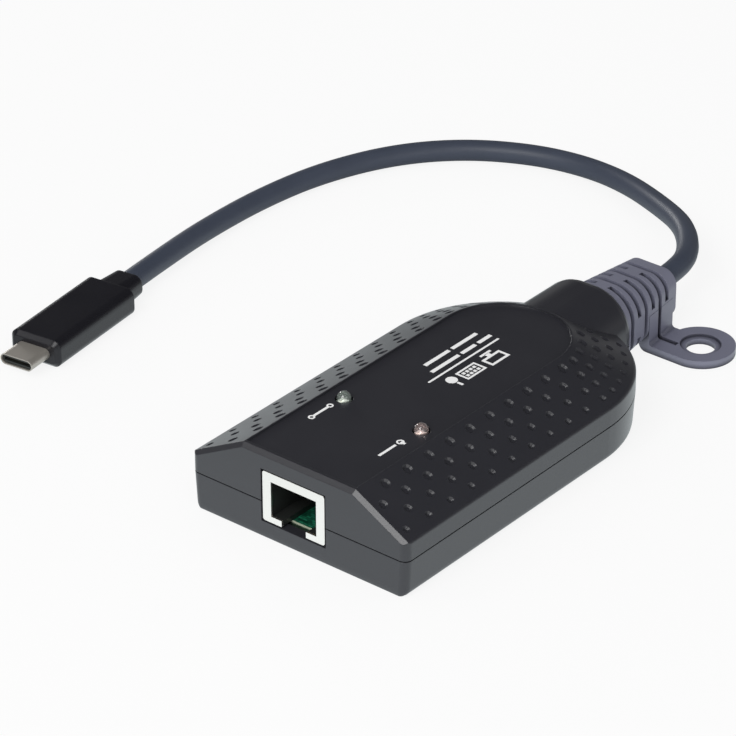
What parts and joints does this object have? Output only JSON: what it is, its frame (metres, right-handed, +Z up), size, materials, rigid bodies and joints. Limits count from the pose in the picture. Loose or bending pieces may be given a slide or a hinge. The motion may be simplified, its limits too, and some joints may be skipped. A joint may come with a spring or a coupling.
{
  "type": "kvm dongle",
  "caption": "Network to USB-C KVM adapter: round-nosed plastic case with dimpled grips and a network socket, short cable with slotted boot and tab ring.",
  "frame": {"origin": "under the middle of the case, on the plane it rests on", "axes": "+Z up through the case, +Y along the case towards the cable, the network socket faces -Y"},
  "size_m": [0.1311, 0.1682, 0.0211],
  "materials": {
    "case_plastic": "fine moulded texture, charcoal black",
    "plated_steel": "bright tin plate",
    "black_moulding": "black moulding",
    "gold_contact": "gold plate",
    "green_board": "green solder mask",
    "chip_epoxy": "moulded epoxy",
    "ceramic_tan": "ceramic",
    "clear_epoxy_green": "clear epoxy, unlit",
    "clear_epoxy_red": "clear epoxy, unlit",
    "white_nylon": "natural nylon",
    "wire_jackets": "coloured wire jackets",
    "boot_rubber": "slate grey flexible moulding",
    "cable_jacket": "slate blue jacket, satin",
    "plug_plastic": "black satin moulding",
    "nickel_shell": "drawn nickel plated steel",
    "screw_steel": "zinc plated"
  },
  "bodies": {
    "root": {"upper_shell": "case_plastic", "lower_shell": "case_plastic", "rj45_shield": "plated_steel", "rj45_insulator": "black_moulding", "rj45_contacts": "gold_contact", "main_board": "green_board", "controller_chip": "chip_epoxy", "memory_chip": "chip_epoxy", "video_chip": "chip_epoxy", "isolation_transformer": "chip_epoxy", "crystal": "plated_steel", "power_inductor": "chip_epoxy", "chip_capacitors": "ceramic_tan", "link_led": "clear_epoxy_green", "power_led": "clear_epoxy_red", "link_led_legs": "plated_steel", "power_led_legs": "plated_steel", "wire_header": "white_nylon", "wire_plug": "white_nylon", "cable_wires": "wire_jackets", "strain_relief_boot": "boot_rubber", "cable": "cable_jacket", "plug_overmold": "plug_plastic", "plug_shell": "nickel_shell", "plug_insulator": "black_moulding", "plug_contacts": "gold_contact", "plug_board": "green_board", "case_screws": "screw_steel", "board_screws": "screw_steel"}
  },
  "joints": []
}
